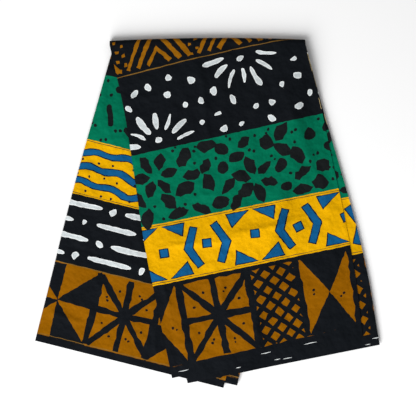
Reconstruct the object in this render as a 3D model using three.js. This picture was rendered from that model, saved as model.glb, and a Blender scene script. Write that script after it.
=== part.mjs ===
// A folded length of African wax print cloth, lying flat on a table.
//
// One cloth, six yards long and 46 inches from selvage to selvage, is halved in its length four times. That
// gives a strip of sixteen layers. The strip is then folded over once across its middle, a little askew, so
// that its two flaps spread like an open book: the front flap leans right as it comes down and the back
// flap leans left.
//
// The stretches of cloth that show are separate sheets: the top two layers of the front flap, which run on
// over the fold and end under it, and the top two layers of the back flap. The layers hidden between them
// are one rounded solid that turns round the fold, with a ridge along its edges for each bundle of layers.
//
// Millimetres, +Z up. The cloth rests on z = 0, the fold lies along X at the top of the outline (+Y), and
// the origin is the middle of the outline on the table.
import * as THREE from "three";

// The cloth and how it is folded.
const CLOTH_LENGTH = 5486;
const HALVINGS = 4;
const STRIP_WIDTH = CLOTH_LENGTH / 2 ** HALVINGS;
const FLAP_LENGTH = 565;
const SHEET_THICKNESS = 1.0;
const SHEET_GAP = 0.3;
const BUNDLE_COUNT = 4;
const BUNDLE_THICKNESS = 1.3;
const HIDDEN_THICKNESS = BUNDLE_COUNT * BUNDLE_THICKNESS;

// Heights above the face that a flap lies on: the hidden layers first, then the second sheet, then the
// cover.
const SECOND_FROM = HIDDEN_THICKNESS + SHEET_GAP;
const SECOND_TO = SECOND_FROM + SHEET_THICKNESS;
const COVER_FROM = SECOND_TO + SHEET_GAP;
const COVER_TO = COVER_FROM + SHEET_THICKNESS;
const FRONT_BASE = COVER_TO + SHEET_GAP;

// The fold turns about a line at this height. Its radii are counted from that line, and it bows at
// mid-length.
const FOLD_HEIGHT = (COVER_TO + FRONT_BASE) / 2;
const FOLD_INSIDE = FRONT_BASE - FOLD_HEIGHT;
const FOLD_BOW = 4.2;
const FOLD_END_CLEAR = 0.4;
const FOLD_FOOT = 0.3;
const BACK_SHEETS_START = 8;

// The left and right edges of each flap's cover, from the fold to the selvage. Each row is a line across
// the strip, and the rows are evenly spaced along it.
const FRONT_FLAP = [
  { leftX: -173.3, leftY: 296.6, rightX: 173.0, rightY: 298.9 },
  { leftX: -147.3, leftY: 178.7, rightX: 199.5, rightY: 195.1 },
  { leftX: -129.0, leftY: 60.8, rightX: 221.3, rightY: 91.3 },
  { leftX: -111.5, leftY: -57.1, rightX: 244.0, rightY: -12.5 },
  { leftX: -87.2, leftY: -175.0, rightX: 262.6, rightY: -116.2 },
  { leftX: -62.7, leftY: -292.8, rightX: 275.2, rightY: -220.0 },
];
const BACK_FLAP = [
  { leftX: -166.0, leftY: 296.6, rightX: 168.0, rightY: 298.9 },
  { leftX: -195.6, leftY: 191.9, rightX: 142.5, rightY: 177.1 },
  { leftX: -225.4, leftY: 87.3, rightX: 115.5, rightY: 55.2 },
  { leftX: -253.0, leftY: -17.4, rightX: 87.8, rightY: -66.6 },
  { leftX: -278.8, leftY: -122.0, rightX: 59.0, rightY: -188.5 },
  { leftX: -305.5, leftY: -226.7, rightX: 28.3, rightY: -310.3 },
];

// How far each piece stands out past its flap's cover: at the left and right edges, in the same rows, and
// past the selvage, in rows that are evenly spaced from left to right. Less than nothing is inside the
// cover's edge.
const COVER = {
  edges: [{ left: 0, right: 0 }, { left: 0, right: 0 }],
  selvage: [{ out: 0 }, { out: 0 }],
};
const FRONT_SECOND = {
  edges: [
    { left: -2.3, right: 0.3 },
    { left: -6.0, right: 1.9 },
    { left: -9.0, right: 9.7 },
    { left: -13.0, right: 16.0 },
    { left: -18.5, right: 21.6 },
    { left: -24.3, right: 27.0 },
  ],
  selvage: [{ out: 14 }, { out: 22 }],
};
const FRONT_HIDDEN = {
  edges: [
    { left: -3.0, right: -3.0 },
    { left: -3.0, right: -1.5 },
    { left: -3.0, right: 6.0 },
    { left: -3.0, right: 12.0 },
    { left: -3.0, right: 17.5 },
    { left: -3.0, right: 22.5 },
  ],
  selvage: [{ out: -3 }, { out: 9 }, { out: 11.5 }, { out: 14 }, { out: 16.5 }, { out: 18 }],
};
const BACK_SECOND = {
  edges: [
    { left: -4.0, right: 2.0 },
    { left: -7.0, right: 6.0 },
    { left: -10.0, right: 10.5 },
    { left: -13.0, right: 15.0 },
    { left: -16.5, right: 19.0 },
    { left: -20.0, right: 22.9 },
  ],
  selvage: [{ out: -4 }, { out: -8.7 }],
};
const BACK_HIDDEN = {
  edges: [
    { left: -3.0, right: 0.0 },
    { left: -3.0, right: 3.0 },
    { left: -3.0, right: 7.0 },
    { left: -3.0, right: 11.5 },
    { left: -3.0, right: 15.5 },
    { left: -3.0, right: 19.5 },
  ],
  selvage: [{ out: -5 }, { out: -12 }],
};

// Where the front flap runs out over the back flap's right edge it steps down to the table. The step starts
// this far past that edge and is this wide, and it fades out towards the fold, which is too stiff to sag.
const STEP_START = 5;
const STEP_WIDTH = 40;
const STEP_FADE = 75;

// How far each bundle's edge stands out from the hidden layers' outline, from the inside of the fold
// outwards.
const BUNDLE_EDGES = [
  { left: 0.5, right: 1.0, selvage: 1.0 },
  { left: -3.0, right: -2.0, selvage: -4.0 },
  { left: 1.0, right: -0.5, selvage: 2.0 },
  { left: -1.5, right: 0.5, selvage: -1.5 },
];
const BUNDLE_ROUNDING = 1.1;

// How finely the pieces are divided. All of the front flap's pieces share the lines between the left line
// and the right line, so that they bend alike and keep their gaps.
const LEFT_LINE = 30 / STRIP_WIDTH;
const RIGHT_LINE = 1 - 9 / STRIP_WIDTH;
const LEAST_RIGHT_PART = 40;
const CELLS_LEFT = 5;
const CELLS_STEP = 5;
const CELLS_RIGHT = 7;
const COLUMNS = CELLS_LEFT + CELLS_STEP + CELLS_RIGHT + 2;
const ROWS_FRONT = 13;
const ROWS_FRONT_CROWDING = 1.25;
const LAST_SHARED_ROW = 0.985;
const ROWS_BACK = 10;
const ROUND_FOLD = 8;
const PER_BUNDLE = 3;
const PASSES_TO_SETTLE = 4;

const clamp01 = (x) => Math.min(1, Math.max(0, x));
const smooth = (x) => clamp01(x) ** 2 * (3 - 2 * clamp01(x));
const mix = (a, b, t) => a + (b - a) * t;

// A smooth curve through one column of a table with evenly spaced rows. It runs on a little past the last
// row.
function curveThrough(rows, column, share) {
  const place = Math.max(0, share) * (rows.length - 1);
  const i = Math.min(rows.length - 2, Math.floor(place));
  const t = place - i;
  const here = rows[i][column];
  const next = rows[i + 1][column];
  const before = i > 0 ? rows[i - 1][column] : 2 * here - next;
  const after = i < rows.length - 2 ? rows[i + 2][column] : 2 * next - here;
  const rise = (next - before) / 2;
  const nextRise = (after - here) / 2;
  const bend = 3 * (next - here) - 2 * rise - nextRise;
  const twist = 2 * (here - next) + rise + nextRise;
  return here + t * (rise + t * (bend + t * twist));
}

// The place on the table under a point of a flap. Across runs from 0 at the cover's left edge to 1 at its
// right one, and along from 0 at the fold to 1 at the cover's selvage.
function placeOn(flap, across, along) {
  const bow = 4 * across * (1 - across) * FOLD_BOW * (1 - smooth(along * 3));
  return {
    x: mix(curveThrough(flap, "leftX", along), curveThrough(flap, "rightX", along), across),
    y: mix(curveThrough(flap, "leftY", along), curveThrough(flap, "rightY", along), across) + bow,
  };
}

// How far a place lies to the right of the back flap, whose second sheet reaches furthest.
function pastBackFlap(place) {
  const top = BACK_FLAP[0].rightY;
  const foot = BACK_FLAP[BACK_FLAP.length - 1].rightY;
  const along = clamp01((top - place.y) / (top - foot));
  const edge = curveThrough(BACK_FLAP, "rightX", along) + curveThrough(BACK_SECOND.edges, "right", along);
  return place.x - edge;
}

// The height of what the front flap lies on: the back flap's cover, and the table beside it.
function underFrontFlap(place) {
  const belowFold = smooth((FRONT_FLAP[0].rightY - place.y) / STEP_FADE);
  return FRONT_BASE * (1 - belowFold * smooth((pastBackFlap(place) - STEP_START) / STEP_WIDTH));
}

// The share of the way across where the step starts, found by going nearer to it a few times.
function stepShare(along) {
  let across = 0.5;
  for (let pass = 0; pass < PASSES_TO_SETTLE; pass++)
    across -= (pastBackFlap(placeOn(FRONT_FLAP, across, along)) - STEP_START) / STRIP_WIDTH;
  return across;
}

// The share of the way across at a column: the piece's own edges first and last, the shared lines between
// them.
function shareAt(column, along, piece, linesAlong) {
  if (column === 0) return -curveThrough(piece.edges, "left", along) / STRIP_WIDTH;
  if (column === COLUMNS) return 1 + curveThrough(piece.edges, "right", along) / STRIP_WIDTH;
  const stepCells = STEP_WIDTH / STRIP_WIDTH;
  const stepFrom = Math.min(stepShare(linesAlong), RIGHT_LINE - stepCells - LEAST_RIGHT_PART / STRIP_WIDTH);
  const line = column - 1;
  if (line <= CELLS_LEFT) return mix(LEFT_LINE, stepFrom, line / CELLS_LEFT);
  const stepLine = line - CELLS_LEFT;
  if (stepLine <= CELLS_STEP) return stepFrom + (stepCells * stepLine) / CELLS_STEP;
  return mix(stepFrom + stepCells, RIGHT_LINE, (stepLine - CELLS_STEP) / CELLS_RIGHT);
}

// A point of the front flap, at a height above what it lies on. Share is the share of the flap's length.
// Past the right line the pieces run on level, however far each one reaches.
function onFrontFlap(piece, column, share, height) {
  const out = curveThrough(piece.selvage, "out", clamp01(shareAt(column, 1, piece, 1)));
  const along = share < 1 ? share : 1 + out / FLAP_LENGTH;
  const across = shareAt(column, along, piece, along);
  const place = placeOn(FRONT_FLAP, across, along);
  const bed = underFrontFlap(placeOn(FRONT_FLAP, Math.min(across, RIGHT_LINE), along));
  return new THREE.Vector3(place.x, place.y, bed + height);
}

// A point of the back flap, at a height above the table.
function onBackFlap(piece, column, share, height) {
  const out = curveThrough(piece.selvage, "out", column / COLUMNS);
  const along = share < 1 ? share : 1 + out / FLAP_LENGTH;
  const place = placeOn(BACK_FLAP, shareAt(column, along, piece, 0), along);
  return new THREE.Vector3(place.x, place.y, height);
}

// A point on the way round the fold, between a front and a back point at its ends: turn runs from 0 to 1.
function roundFold(front, back, turn, radius) {
  const angle = Math.PI * turn;
  return new THREE.Vector3(
    mix(front.x, back.x, turn),
    mix(front.y, back.y, turn) + radius * Math.sin(angle),
    FOLD_HEIGHT + radius * Math.cos(angle),
  );
}

// A box divided into cells, with each corner moved to its place. The three directions, across, along and
// through, are left-handed.
function mappedBox(acrossCells, alongCells, throughCells, placeOf) {
  const points = [];
  const numbers = new Map();
  const triangles = [];
  const numberOf = (i, j, k) => {
    const key = `${i} ${j} ${k}`;
    if (!numbers.has(key)) {
      numbers.set(key, numbers.size);
      points.push(...placeOf(i, j, k));
    }
    return numbers.get(key);
  };
  // Facing faces are split along the same diagonal.
  const quad = ([a, b, c, d], turned) => {
    if (turned) triangles.push(a, c, b, a, d, c);
    else triangles.push(a, b, c, a, c, d);
  };
  // The four corners of a cell's face, from its first corner along two of the directions in turn.
  const face = (corner, first, second) => {
    const step = (from, direction) => from.map((n, axis) => n + (axis === direction ? 1 : 0));
    const opposite = step(step(corner, first), second);
    return [corner, step(corner, first), opposite, step(corner, second)].map((place) => numberOf(...place));
  };
  const [acrossWay, alongWay, throughWay] = [0, 1, 2];
  for (let i = 0; i < acrossCells; i++)
    for (let j = 0; j < alongCells; j++)
      for (const k of [0, throughCells]) quad(face([i, j, k], alongWay, acrossWay), k === 0);
  for (let j = 0; j < alongCells; j++)
    for (let k = 0; k < throughCells; k++)
      for (const i of [0, acrossCells]) quad(face([i, j, k], alongWay, throughWay), i > 0);
  for (let i = 0; i < acrossCells; i++)
    for (let k = 0; k < throughCells; k++)
      for (const j of [0, alongCells]) quad(face([i, j, k], throughWay, acrossWay), j > 0);
  const geometry = new THREE.BufferGeometry();
  geometry.setAttribute("position", new THREE.Float32BufferAttribute(points, 3));
  geometry.setIndex(triangles);
  geometry.computeVertexNormals();
  return geometry;
}

// The rows of the front flap lie closer together near the fold. The last one is the piece's own selvage.
function frontRow(row) {
  if (row === ROWS_FRONT) return 1;
  return LAST_SHARED_ROW * (row / (ROWS_FRONT - 1)) ** ROWS_FRONT_CROWDING;
}

// A sheet of the front flap, from its end under the fold to its selvage.
function frontSheet(piece, from, to) {
  return mappedBox(COLUMNS, ROUND_FOLD + ROWS_FRONT, 1, (column, j, k) => {
    const height = k === 0 ? from : to;
    if (j >= ROUND_FOLD) return onFrontFlap(piece, column, frontRow(j - ROUND_FOLD), height);
    const atFold = placeOn(FRONT_FLAP, shareAt(column, 0, piece, 0), 0);
    const point = roundFold(atFold, atFold, 1 - j / ROUND_FOLD, FOLD_INSIDE + height);
    if (j === 0) point.y += FOLD_END_CLEAR;
    return point;
  });
}

// A sheet of the back flap, from just inside the fold to its selvage.
function backSheet(piece, from, to) {
  return mappedBox(COLUMNS, ROWS_BACK, 1, (column, j, k) => {
    const share = mix(BACK_SHEETS_START / FLAP_LENGTH, 1, j / ROWS_BACK);
    return onBackFlap(piece, column, share, k === 0 ? from : to);
  });
}

// How far the hidden layers' edge stands out at a step through their thickness: a ridge for each bundle and
// a groove where two bundles meet.
function bundleEdge(step, side) {
  const bundle = Math.min(BUNDLE_COUNT - 1, Math.floor(step / PER_BUNDLE));
  const out = BUNDLE_EDGES[bundle][side];
  if (step % PER_BUNDLE === 0) return Math.min(0, out) - BUNDLE_ROUNDING;
  return out + Math.sin(Math.PI * (step / PER_BUNDLE - bundle)) * BUNDLE_ROUNDING;
}

// The hidden layers, from the back flap's selvage, round the fold and down to the front flap's. Through
// runs from the inside of the fold outwards, so it is downwards in the back flap and upwards in the front
// flap.
function hiddenLayers() {
  const through = BUNDLE_COUNT * PER_BUNDLE;
  const foldFrom = ROWS_BACK + 1;
  const foldTo = foldFrom + ROUND_FOLD;
  const last = foldTo + ROWS_FRONT;
  const insideAtBack = FOLD_HEIGHT - HIDDEN_THICKNESS;
  const outside = FOLD_INSIDE + HIDDEN_THICKNESS;
  return mappedBox(COLUMNS, last, through, (column, j, k) => {
    const outwards = k / through;
    let point;
    if (j < foldFrom) {
      point = onBackFlap(BACK_HIDDEN, column, 1 - j / ROWS_BACK, HIDDEN_THICKNESS * (1 - outwards));
      if (j === ROWS_BACK) point.y -= FOLD_FOOT;
    } else if (j <= foldTo) {
      const turn = (foldTo - j) / ROUND_FOLD;
      const front = placeOn(FRONT_FLAP, shareAt(column, 0, FRONT_HIDDEN, 0), 0);
      const back = placeOn(BACK_FLAP, shareAt(column, 0, BACK_HIDDEN, 0), 0);
      point = roundFold(front, back, turn, mix(mix(FOLD_INSIDE, insideAtBack, turn), outside, outwards));
    } else {
      point = onFrontFlap(FRONT_HIDDEN, column, frontRow(j - foldTo), HIDDEN_THICKNESS * outwards);
    }
    if (column === 0) point.x -= bundleEdge(k, "left");
    if (column === COLUMNS) point.x += bundleEdge(k, "right");
    if (j === 0 || j === last) point.y -= bundleEdge(k, "selvage");
    return point;
  });
}

const PRINTED_COTTON = { roughness: 0.62, metalness: 0 };

// The colour is that of a broad stretch of the print on each piece.
function cloth(name, geometry, color) {
  const mesh = new THREE.Mesh(geometry, new THREE.MeshStandardMaterial({ color, ...PRINTED_COTTON }));
  mesh.name = name;
  return mesh;
}

const folded = new THREE.Group();
folded.name = "folded_wax_print";
folded.add(
  cloth("hidden_layers", hiddenLayers(), 0x1b2126),
  cloth("back_second_sheet", backSheet(BACK_SECOND, SECOND_FROM, SECOND_TO), 0x1b2126),
  cloth("back_cover_sheet", backSheet(COVER, COVER_FROM, COVER_TO), 0x905a04),
  cloth("front_second_sheet", frontSheet(FRONT_SECOND, SECOND_FROM, SECOND_TO), 0x087a58),
  cloth("front_cover_sheet", frontSheet(COVER, COVER_FROM, COVER_TO), 0x0b7856),
);

export default folded;
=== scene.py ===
# A folded length of African wax print cloth, lying flat on a pale table.
#
# The strip of sixteen layers is folded over once, and its two flaps are spread like a fan. Each sheet that
# shows is a thin closed shell, cut along the lines of its print, so that every mark has a crisp edge. The
# layers between are one ridged body that turns round the fold, with a printed sheet on its underside.
#
# Places on the cloth are given in millimetres: across the strip from its left edge, and along it from the
# front flap's selvage, over the fold, to the back flap's selvage. Places in the scene are in metres.
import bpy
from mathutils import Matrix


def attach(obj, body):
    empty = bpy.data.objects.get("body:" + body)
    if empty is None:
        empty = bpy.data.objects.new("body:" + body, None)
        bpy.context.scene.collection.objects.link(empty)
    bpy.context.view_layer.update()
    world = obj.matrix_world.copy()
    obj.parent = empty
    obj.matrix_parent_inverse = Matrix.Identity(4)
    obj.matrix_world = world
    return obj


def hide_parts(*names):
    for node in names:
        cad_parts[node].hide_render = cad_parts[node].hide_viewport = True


bl_info = {
    "name": "Folded wax print cloth",
    "version": (1, 0, 0),
    "blender": (4, 5, 0),
    "location": "View3D > Sidebar > Wax Print",
    "description": "Builds a folded length of printed cotton round its solid model",
    "category": "Add Mesh",
}

import math
import random

import bpy
import numpy as np
from mathutils import Vector
from mathutils.geometry import delaunay_2d_cdt

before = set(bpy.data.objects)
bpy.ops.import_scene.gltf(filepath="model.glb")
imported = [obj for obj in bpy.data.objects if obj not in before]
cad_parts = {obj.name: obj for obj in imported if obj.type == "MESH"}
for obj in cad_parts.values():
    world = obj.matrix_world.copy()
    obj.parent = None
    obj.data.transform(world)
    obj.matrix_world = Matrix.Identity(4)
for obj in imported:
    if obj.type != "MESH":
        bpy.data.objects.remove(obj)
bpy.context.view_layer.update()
MM = 0.001

# The strip, and the heights of its layers above what a flap lies on.
STRIP_WIDTH = 343.0
CLOTH_WIDTH = 1168.0
FLAP_LENGTH = 565.0
HIDDEN_LAYERS = 14
HIDDEN_TOP = 5.2
UNDERSIDE_TOP = 0.35
SECOND_MIDDLE = 6.0
COVER_MIDDLE = 7.3
FRONT_BASE = 8.1
STACK_HEIGHT = 15.9

# How much coarser the sheets are that hardly show.
COARSER = 1.6

# The fold turns about a line at this height. It bows at mid-length. The sheets end before they meet what is
# under it.
FOLD_HEIGHT = 7.95
FOLD_INSIDE = 0.15
FOLD_BOW = 4.2
FOLD_END_CLEAR = 0.4
FOLD_FOOT = 0.3
BACK_SHEETS_START = 8.0
TURN_MOST = math.pi * 0.995
TURN_ENDS = math.pi * 0.99
TURN_CLEAR_FROM = 3.0
UNDER_BACK_END = -1.0
FOLD_LEFT_Y = 296.6
FOLD_RIGHT_Y = 298.9

# The left and right edges of each flap's cover, in evenly spaced rows from the fold to the selvage.
FRONT_FLAP = {
    "left_x": (-173.3, -147.3, -129.0, -111.5, -87.2, -62.7),
    "left_y": (296.6, 178.7, 60.8, -57.1, -175.0, -292.8),
    "right_x": (173.0, 199.5, 221.3, 244.0, 262.6, 275.2),
    "right_y": (298.9, 195.1, 91.3, -12.5, -116.2, -220.0),
}
BACK_FLAP = {
    "left_x": (-166.0, -195.6, -225.4, -253.0, -278.8, -305.5),
    "left_y": (296.6, 191.9, 87.3, -17.4, -122.0, -226.7),
    "right_x": (168.0, 142.5, 115.5, 87.8, 59.0, 28.3),
    "right_y": (298.9, 177.1, 55.2, -66.6, -188.5, -310.3),
}

# How far each layer stands out past its flap's cover: at the left and right edges from the fold to the
# selvage, and past the selvage from left to right. Less than nothing is inside the cover's edge.
COVER = {"left": (0.0, 0.0), "right": (0.0, 0.0), "selvage": (0.0, 0.0)}
FRONT_SECOND = {
    "left": (-2.3, -6.0, -9.0, -13.0, -18.5, -24.3),
    "right": (0.3, 1.9, 9.7, 16.0, 21.6, 27.0),
    "selvage": (14.0, 22.0),
}
FRONT_HIDDEN = {
    "left": (-3.0, -3.0, -3.0, -3.0, -3.0, -3.0),
    "right": (-3.0, -1.5, 6.0, 12.0, 17.5, 22.5),
    "selvage": (-3.0, 9.0, 11.5, 14.0, 16.5, 18.0),
}
BACK_SECOND = {
    "left": (-4.0, -7.0, -10.0, -13.0, -16.5, -20.0),
    "right": (2.0, 6.0, 10.5, 15.0, 19.0, 22.9),
    "selvage": (-4.0, -8.7),
}
BACK_HIDDEN = {
    "left": (-3.0, -3.0, -3.0, -3.0, -3.0, -3.0),
    "right": (0.0, 3.0, 7.0, 11.5, 15.5, 19.5),
    "selvage": (-5.0, -12.0),
}

# Where lines across the print meet the left and right edges of a sheet: the place along the strip, then how
# far up the picture each end of the line is. The selvage is added to them.
LINES = {
    "front_cover": (
        (18, -277.0, -200.8),
        (166, -130.5, -57.5),
        (272, -25.7, 43.0),
        (399, 100.2, 175.5),
        (540, 237.5, 312.9),
        (600, 296.6, 372.9),
        (760, 456.6, 532.9),
    ),
    "front_second": (
        (166, -139.5, -71.0),
        (272, -36.0, 28.0),
        (399, 87.9, 147.0),
        (553, 238.1, 299.0),
        (760, 445.0, 506.0),
    ),
    "back": (
        (1008, -82.8, -166.0),
        (891, 35.0, -48.0),
        (793, 130.8, 48.0),
        (620, 296.6, 225.2),
        (548, 368.6, 298.9),
        (400, 516.6, 446.9),
    ),
}

# Where the front flap runs out over the back flap's right edge it steps down to the table.
STEP_START = 5.0
STEP_WIDTH = 40.0
STEP_FADE = 75.0
LEVEL_EDGE = 9.0

# Creases of the flaps and of the underside: where each runs on the picture, from x, y to x, y, then its
# height, less than nothing for a trough, and how far its slopes reach to each side. The underside's run up
# into the cloth.
FRONT_CREASES = (
    (136, 226, 158, 150, 1.80, 9.0),
    (148, 178, 206, 44, 2.60, 9.0),
    (196, 78, 219, -14, 1.80, 8.0),
    (-97, -69, 84, -36, 1.90, 4.2),
    (-112, -70, 214, -6, 3.20, 15.0),
    (30, -47, 192, 0, 1.80, 4.2),
    (128, 214, 196, 8, 3.40, 22.0),
    (226, -66, 229, -108, 1.80, 3.6),
    (214, -8, 217, -40, 1.60, 3.6),
    (86, -176, 90, -226, 1.80, 3.6),
    (243, -2, 252, -44, -0.94, 2.6),
    (-122, 60, -109, -62, -0.80, 4.2),
    (-20, 268, 12, 96, 1.90, 7.0),
    (104, 248, 131, 150, -0.98, 4.7),
    (-140, 196, -72, 214, 1.45, 5.4),
    (20, -98, 34, -186, 1.60, 4.4),
    (168, -120, 246, -104, -0.90, 3.6),
    (-60, -236, -18, -226, 1.45, 4.2),
    (180, 236, 187, 206, 1.60, 3.6),
    (-84, 118, -20, 62, -0.85, 4.1),
    (36, 84, 92, 22, 1.30, 6.0),
    (-86, -112, -60, -178, 1.30, 4.4),
    (120, -128, 128, -196, 1.20, 4.0),
    (-40, 22, 30, 40, 0.90, 5.0),
)
BACK_CREASES = (
    (-188, 232, -184, 136, 2.00, 7.0),
    (-210, 92, -236, -2, 1.70, 4.8),
    (-258, -58, -166, -80, -0.98, 3.7),
    (-180, 172, -172, 120, 1.36, 3.8),
    (-284, -176, -214, -196, 1.70, 4.2),
    (-164, -158, -150, -226, -0.94, 3.0),
    (-236, 20, -176, 8, -0.81, 3.0),
    (-96, -206, -90, -262, 1.44, 3.8),
    (-8, -258, 18, -294, 1.19, 3.6),
    (-262, -100, -276, -166, 1.27, 4.4),
    (-206, -110, -176, -146, 1.02, 5.0),
)
UNDERSIDE_CREASES = (
    (-150, 180, -60, 60, 0.30, 3.6),
    (40, 210, 150, -40, 0.26, 4.4),
    (-200, -60, -40, -120, 0.32, 3.4),
    (-240, -20, -222, -140, 0.24, 4.8),
    (60, 60, 128, 96, 0.28, 3.2),
    (160, -70, 232, -130, 0.30, 3.8),
    (-120, -160, -30, -236, 0.28, 4.2),
)

# How deep a trough may be in a cover and in a second sheet.
COVER_TROUGH = 1.0
SECOND_TROUGH = 0.4

# A crease's side steps and its number of bends, and the parts of its length in which it rises and fades out.
CREASE_WANDER = 0.02
CREASE_BENDS = 2.3
CREASE_START = 0.25
CREASE_END = 0.35

# How far down the flap from the fold a front sheet's creases and swells have their full height.
CREASES_FROM = 25.0

# The front sheets sink past the hidden layers' selvage, and at the cover's left edge over the second sheet's.
SINK_MOST = 3.5
SINK_RATE = 0.012
LEFT_SINK = 0.9
LEFT_SINK_WIDTH = 6.0
LEFT_SINK_FROM = 30.0

# Low swells that all the layers share: where each is, its height at the top of the stack and its reach.
SWELLS = (
    (-60, 180, 0.9, 90),
    (110, 120, -0.7, 80),
    (20, 10, 0.8, 110),
    (190, -60, -0.6, 70),
    (60, -180, 0.7, 90),
    (-250, -120, 0.8, 80),
    (-190, 60, -0.6, 70),
    (-110, -220, 0.7, 60),
    (250, -170, 0.8, 60),
)

# The inks, as they look in daylight.
INKS = {
    "black": ("Black", "Ground of the dark bands", 0x111418),
    "leaf": ("Leaf black", "Marks on green", 0x171A1B),
    "green": ("Green", "Ground of the green bands", 0x006C4E),
    "yellow": ("Yellow", "Ground of the yellow bands", 0xDFA500),
    "blue": ("Blue", "Bars and waves", 0x105687),
    "navy": ("Navy", "Outline round the blue", 0x121B29),
    "brown": ("Brown", "Ground of the brown bands", 0x8A5500),
    "gold": ("Golden brown", "Chevrons", 0x955F0A),
    "umber": ("Umber", "Thin lines between bands", 0x825F27),
    "white": ("White", "Rims of the pale marks", 0xE8ECEC),
    "pale": ("Pale grey", "Middles of the pale marks", 0xC9D0D2),
    "raw": ("Raw cotton", "Cut edges", 0xA8956C),
}


def clamp(x):
    return np.clip(x, 0.0, 1.0)


def smooth(x):
    return clamp(x) ** 2 * (3 - 2 * clamp(x))


def mix(a, b, t):
    return a + (b - a) * t


def between(p, q, t):
    """The point at a share of the way from one point to another."""
    return mix(p[0], q[0], t), mix(p[1], q[1], t)


def curve_through(rows, share):
    """A smooth curve through evenly spaced values. It runs on a little past the last one."""
    rows = np.asarray(rows, float)
    last = len(rows) - 1
    place = np.maximum(0.0, share) * last
    i = np.minimum(last - 1, np.floor(place)).astype(int)
    t = place - i
    here = rows[i]
    after = rows[i + 1]
    before = np.where(i > 0, rows[np.maximum(i - 1, 0)], 2 * here - after)
    beyond = np.where(i < last - 1, rows[np.minimum(i + 2, last)], 2 * after - here)
    rise = (after - before) / 2
    next_rise = (beyond - here) / 2
    bend = 3 * (after - here) - 2 * rise - next_rise
    twist = 2 * (here - after) + rise + next_rise
    return here + t * (rise + t * (bend + t * twist))


def flat_place(flap, across, along):
    """The x and y of a point of a flap, by its share of the way across and along."""
    x = mix(curve_through(flap["left_x"], along), curve_through(flap["right_x"], along), across)
    y = mix(curve_through(flap["left_y"], along), curve_through(flap["right_y"], along), across)
    return x, y


def fold_bow(across, along):
    """How far the bow of the fold moves a point of a flap. It fades out over the first third of the flap."""
    return 4 * across * (1 - across) * FOLD_BOW * (1 - smooth(along * 3))


def edge_share(reach, side, along):
    """The share of the way across at the left or right edge of a layer."""
    if side == "left":
        return -curve_through(reach["left"], along) / STRIP_WIDTH
    return 1 + curve_through(reach["right"], along) / STRIP_WIDTH


def edge_line(flap, reach, side):
    """The x and y of a layer's edge, from its selvage up to the fold."""
    out = reach["selvage"][0 if side == "left" else -1]
    along = np.linspace(1 + out / FLAP_LENGTH, 0, EDGE_POINTS)
    return flat_place(flap, edge_share(reach, side, along), along)


# How many points an edge line has, and where along the strip the fold's line is looked for.
EDGE_POINTS = 90
FOLD_SEARCH = (480, 700, 441)
FRONT_RIGHT_EDGE = edge_line(FRONT_FLAP, COVER, "right")
BACK_RIGHT_EDGE = edge_line(BACK_FLAP, BACK_SECOND, "right")


def under_front_flap(x, y):
    """The height of what the front flap lies on: the back flap's cover, and the table beside it."""
    level = np.interp(y, FRONT_RIGHT_EDGE[1], FRONT_RIGHT_EDGE[0]) - LEVEL_EDGE
    past = np.minimum(x, level) - np.interp(y, BACK_RIGHT_EDGE[1], BACK_RIGHT_EDGE[0])
    below_fold = smooth((FOLD_RIGHT_Y - y) / STEP_FADE)
    return FRONT_BASE * (1 - below_fold * smooth((past - STEP_START) / STEP_WIDTH))


def swell(x, y, z):
    """How much a point is lifted because the stack under it is a little thicker or thinner there."""
    lift = 0.0
    for middle_x, middle_y, height, reach in SWELLS:
        lift = lift + height * np.exp(-((x - middle_x) ** 2 + (y - middle_y) ** 2) / reach**2)
    return lift * z / STACK_HEIGHT


def crease_height(x, y, creases, deepest):
    """The height of a sheet's creases: soft ridges and troughs that fade out at their ends."""
    height = 0.0 * x
    for from_x, from_y, to_x, to_y, rise, reach in creases:
        length = math.hypot(to_x - from_x, to_y - from_y)
        along_x = (to_x - from_x) / length
        along_y = (to_y - from_y) / length
        along = (x - from_x) * along_x + (y - from_y) * along_y
        aside = (y - from_y) * along_x - (x - from_x) * along_y
        wander = CREASE_WANDER * length * np.sin(along * math.pi * CREASE_BENDS / length)
        ends = smooth(along / (CREASE_START * length)) * smooth((length - along) / (CREASE_END * length))
        height = height + rise * ends * np.exp(-(((aside - wander) / reach) ** 2))
    return np.maximum(height, -deepest)


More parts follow.
